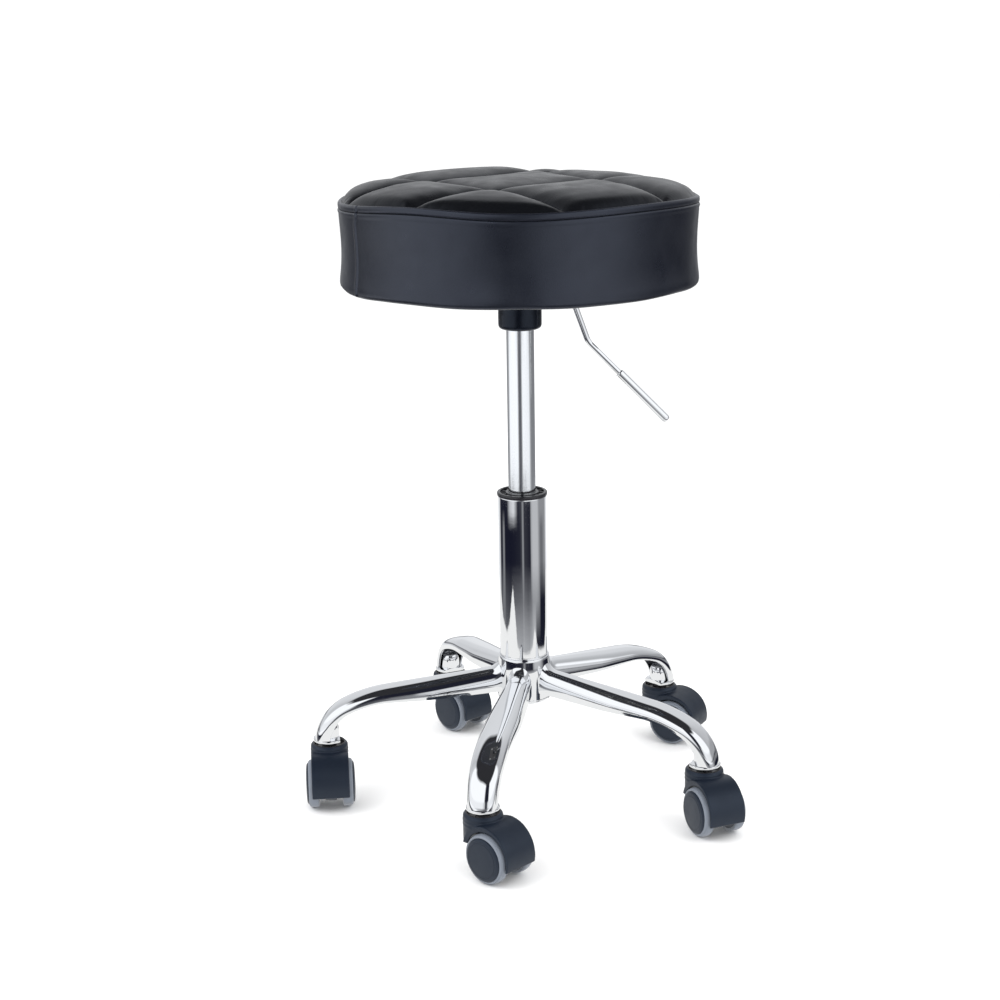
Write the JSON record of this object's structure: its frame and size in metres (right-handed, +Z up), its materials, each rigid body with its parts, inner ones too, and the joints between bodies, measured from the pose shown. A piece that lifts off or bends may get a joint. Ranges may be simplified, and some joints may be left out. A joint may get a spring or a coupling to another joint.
{
  "type": "rolling stylist stool",
  "caption": "Height-adjustable rolling stool with a quilted round padded seat, lift lever, gas column, chrome star base and hooded twin-wheel casters.",
  "frame": {"origin": "on the floor, on the column's axis", "axes": "+Z up along the column; +X along the lever, from the column towards its tip; +Y completes a right-handed frame"},
  "size_m": [0.4516, 0.4624, 0.65],
  "materials": {
    "chrome": "bright chrome plate",
    "hard_chrome": "ground and hard-chromed rod",
    "satin_cylinder": "satin drawn tube",
    "zinc_steel": "bright zinc",
    "spring_steel": "dark spring steel",
    "bearing_steel": "hardened and polished",
    "black_paint": "black powder coat",
    "black_plastic": "moulded gloss",
    "gloss_boot": "moulded gloss",
    "caster_plastic": "satin moulded nylon",
    "grey_tread": "soft polyurethane",
    "black_rubber": "moulded rubber",
    "brass_piston": "turned",
    "plywood": "raw plywood",
    "foam": "open-cell foam",
    "dust_fabric": "spun-bonded cloth",
    "black_vinyl": "soft grained vinyl"
  },
  "bodies": {
    "base": {"hub": "chrome", "legs": "chrome", "caster_sockets": "chrome", "caster_stems": "zinc_steel", "grip_rings": "spring_steel", "outer_tube": "chrome", "guide_bush": "black_plastic", "lower_race": "bearing_steel"},
    "spindle": {"bearing_balls": "bearing_steel", "upper_race": "bearing_steel", "bumper": "black_rubber", "rod_clip": "spring_steel", "piston_rod": "hard_chrome", "piston": "brass_piston"},
    "seat": {"gas_cylinder": "satin_cylinder", "rod_seal": "black_rubber", "taper_socket": "black_paint", "mounting_plate": "black_paint", "socket_boot": "gloss_boot", "lever_pin": "zinc_steel", "plate_bolts": "zinc_steel", "tee_nuts": "zinc_steel", "seat_board": "plywood", "foam_pad": "foam", "dust_cover": "dust_fabric", "cover_side_band": "black_vinyl", "cover_top_panel": "black_vinyl"},
    "lever": {"lever_rod": "chrome", "lever_sleeve": "chrome"},
    "button": {"release_button": "zinc_steel"},
    "caster_1": {"caster_1_hood": "caster_plastic", "caster_1_axle": "zinc_steel"},
    "caster_1_left_wheel": {"caster_1_left_core": "caster_plastic", "caster_1_left_tread": "grey_tread"},
    "caster_1_right_wheel": {"caster_1_right_core": "caster_plastic", "caster_1_right_tread": "grey_tread"},
    "caster_2": {"caster_2_hood": "caster_plastic", "caster_2_axle": "zinc_steel"},
    "caster_2_left_wheel": {"caster_2_left_core": "caster_plastic", "caster_2_left_tread": "grey_tread"},
    "caster_2_right_wheel": {"caster_2_right_core": "caster_plastic", "caster_2_right_tread": "grey_tread"},
    "caster_3": {"caster_3_hood": "caster_plastic", "caster_3_axle": "zinc_steel"},
    "caster_3_left_wheel": {"caster_3_left_core": "caster_plastic", "caster_3_left_tread": "grey_tread"},
    "caster_3_right_wheel": {"caster_3_right_core": "caster_plastic", "caster_3_right_tread": "grey_tread"},
    "caster_4": {"caster_4_hood": "caster_plastic", "caster_4_axle": "zinc_steel"},
    "caster_4_left_wheel": {"caster_4_left_core": "caster_plastic", "caster_4_left_tread": "grey_tread"},
    "caster_4_right_wheel": {"caster_4_right_core": "caster_plastic", "caster_4_right_tread": "grey_tread"},
    "caster_5": {"caster_5_hood": "caster_plastic", "caster_5_axle": "zinc_steel"},
    "caster_5_left_wheel": {"caster_5_left_core": "caster_plastic", "caster_5_left_tread": "grey_tread"},
    "caster_5_right_wheel": {"caster_5_right_core": "caster_plastic", "caster_5_right_tread": "grey_tread"}
  },
  "joints": [
    {"name": "seat_spin", "type": "hinge", "parent": "base", "child": "spindle", "pos_m": [0, 0, 0.11], "axis": [0, 0, 1], "continuous": true},
    {"name": "height_adjust", "type": "slide", "parent": "spindle", "child": "seat", "axis": [0, 0, 1], "range_m": [-0.15, 0]},
    {"name": "lever_lift", "type": "hinge", "parent": "seat", "child": "lever", "pos_m": [0.03, 0, 0.533], "axis": [0, -1, 0], "range_deg": [0, 8]},
    {"name": "button_press", "type": "slide", "parent": "seat", "child": "button", "axis": [0, 0, -1], "range_m": [0, 0.0048]},
    {"name": "caster_1_swivel", "type": "hinge", "parent": "base", "child": "caster_1", "pos_m": [0.18103, -0.10242, 0.05], "axis": [0, 0, 1], "continuous": true},
    {"name": "caster_1_left_roll", "type": "hinge", "parent": "caster_1", "child": "caster_1_left_wheel", "pos_m": [0.18963, -0.12268, 0.025], "axis": [0.9205, 0.3907, 0], "continuous": true},
    {"name": "caster_1_right_roll", "type": "hinge", "parent": "caster_1", "child": "caster_1_right_wheel", "pos_m": [0.18963, -0.12268, 0.025], "axis": [0.9205, 0.3907, 0], "continuous": true},
    {"name": "caster_2_swivel", "type": "hinge", "parent": "base", "child": "caster_2", "pos_m": [0.15335, 0.14052, 0.05], "axis": [0, 0, 1], "continuous": true},
    {"name": "caster_2_left_roll", "type": "hinge", "parent": "caster_2", "child": "caster_2_left_wheel", "pos_m": [0.17278, 0.13019, 0.025], "axis": [0.4695, 0.8829, 0], "continuous": true},
    {"name": "caster_2_right_roll", "type": "hinge", "parent": "caster_2", "child": "caster_2_right_wheel", "pos_m": [0.17278, 0.13019, 0.025], "axis": [0.4695, 0.8829, 0], "continuous": true},
    {"name": "caster_3_swivel", "type": "hinge", "parent": "base", "child": "caster_3", "pos_m": [-0.08626, 0.18927, 0.05], "axis": [0, 0, 1], "continuous": true},
    {"name": "caster_3_left_roll", "type": "hinge", "parent": "caster_3", "child": "caster_3_left_wheel", "pos_m": [-0.07154, 0.17292, 0.025], "axis": [0.7431, 0.6691, 0], "continuous": true},
    {"name": "caster_3_right_roll", "type": "hinge", "parent": "caster_3", "child": "caster_3_right_wheel", "pos_m": [-0.07154, 0.17292, 0.025], "axis": [0.7431, 0.6691, 0], "continuous": true},
    {"name": "caster_4_swivel", "type": "hinge", "parent": "base", "child": "caster_4", "pos_m": [-0.20666, -0.02355, 0.05], "axis": [0, 0, 1], "continuous": true},
    {"name": "caster_4_left_roll", "type": "hinge", "parent": "caster_4", "child": "caster_4_left_wheel", "pos_m": [-0.20436, -0.04543, 0.025], "axis": [0.9945, 0.1045, 0], "continuous": true},
    {"name": "caster_4_right_roll", "type": "hinge", "parent": "caster_4", "child": "caster_4_right_wheel", "pos_m": [-0.20436, -0.04543, 0.025], "axis": [0.9945, 0.1045, 0], "continuous": true},
    {"name": "caster_5_swivel", "type": "hinge", "parent": "base", "child": "caster_5", "pos_m": [-0.04147, -0.20382, 0.05], "axis": [0, 0, 1], "continuous": true},
    {"name": "caster_5_left_roll", "type": "hinge", "parent": "caster_5", "child": "caster_5_left_wheel", "pos_m": [-0.02564, -0.21911, 0.025], "axis": [0.6947, 0.7193, 0], "continuous": true},
    {"name": "caster_5_right_roll", "type": "hinge", "parent": "caster_5", "child": "caster_5_right_wheel", "pos_m": [-0.02564, -0.21911, 0.025], "axis": [0.6947, 0.7193, 0], "continuous": true}
  ],
  "couplings": [
    {"joint": "button_press", "follows": "lever_lift", "m_per_rad": 0.032}
  ]
}
